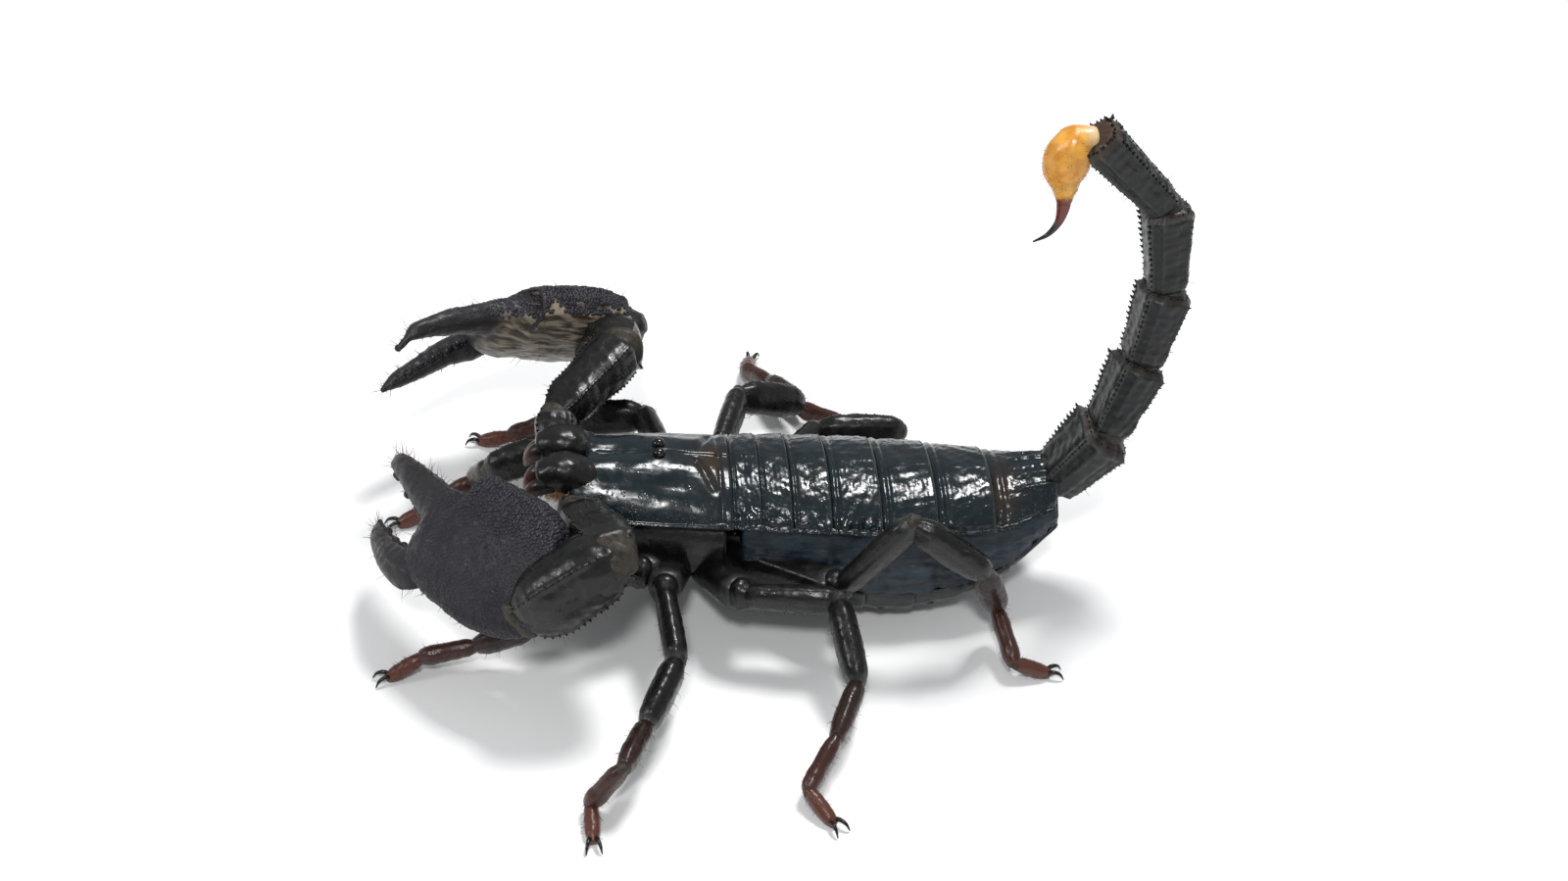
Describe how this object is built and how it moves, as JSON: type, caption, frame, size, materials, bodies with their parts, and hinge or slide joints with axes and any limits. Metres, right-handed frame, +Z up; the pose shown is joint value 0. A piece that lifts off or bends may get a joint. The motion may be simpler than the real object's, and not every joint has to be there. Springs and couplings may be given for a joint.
{
  "type": "scorpion",
  "caption": "Still life-size model of a forest scorpion standing on its feet, with the segmented tail curled up over its back and the heavy claws held open.",
  "frame": {"origin": "middle of the bounding box's footprint, at the ground under the feet", "axes": "+Z up, -X towards the head, +X towards the root of the tail, -Y towards the animal's left side"},
  "size_m": [0.0992, 0.0944, 0.0656],
  "materials": {
    "shell": "glossy blue-black horn",
    "claw_shell": "satin purplish-black granular horn",
    "membrane": "soft blue-grey skin",
    "amber": "glossy golden amber",
    "sting": "glossy dark red",
    "eye": "polished black"
  },
  "bodies": {
    "root": {"aculeus": "sting", "belly": "membrane", "carapace": "shell", "chela_left": "claw_shell", "chela_right": "claw_shell", "chelicera_left": "claw_shell", "chelicera_right": "claw_shell", "coxosternum": "shell", "eye_median_left": "eye", "eye_median_right": "eye", "femur_left_1": "shell", "femur_left_2": "shell", "femur_left_3": "shell", "femur_left_4": "shell", "femur_right_1": "shell", "femur_right_2": "shell", "femur_right_3": "shell", "femur_right_4": "shell", "lower_leg_left_1": "shell", "lower_leg_left_2": "shell", "lower_leg_left_3": "shell", "lower_leg_left_4": "shell", "lower_leg_right_1": "shell", "lower_leg_right_2": "shell", "lower_leg_right_3": "shell", "lower_leg_right_4": "shell", "metasoma_1": "shell", "metasoma_2": "shell", "metasoma_3": "shell", "metasoma_4": "shell", "metasoma_5": "shell", "movable_finger_left": "claw_shell", "movable_finger_right": "claw_shell", "patella_left_1": "shell", "patella_left_2": "shell", "patella_left_3": "shell", "patella_left_4": "shell", "patella_right_1": "shell", "patella_right_2": "shell", "patella_right_3": "shell", "patella_right_4": "shell", "pecten_left": "membrane", "pecten_right": "membrane", "pedipalp_femur_left": "shell", "pedipalp_femur_right": "shell", "pedipalp_patella_left": "shell", "pedipalp_patella_right": "shell", "pedipalp_trochanter_left": "shell", "pedipalp_trochanter_right": "shell", "telson_vesicle": "amber", "tergite_1": "shell", "tergite_2": "shell", "tergite_3": "shell", "tergite_4": "shell", "tergite_5": "shell", "tergite_6": "shell", "tergite_7": "shell"}
  },
  "joints": []
}
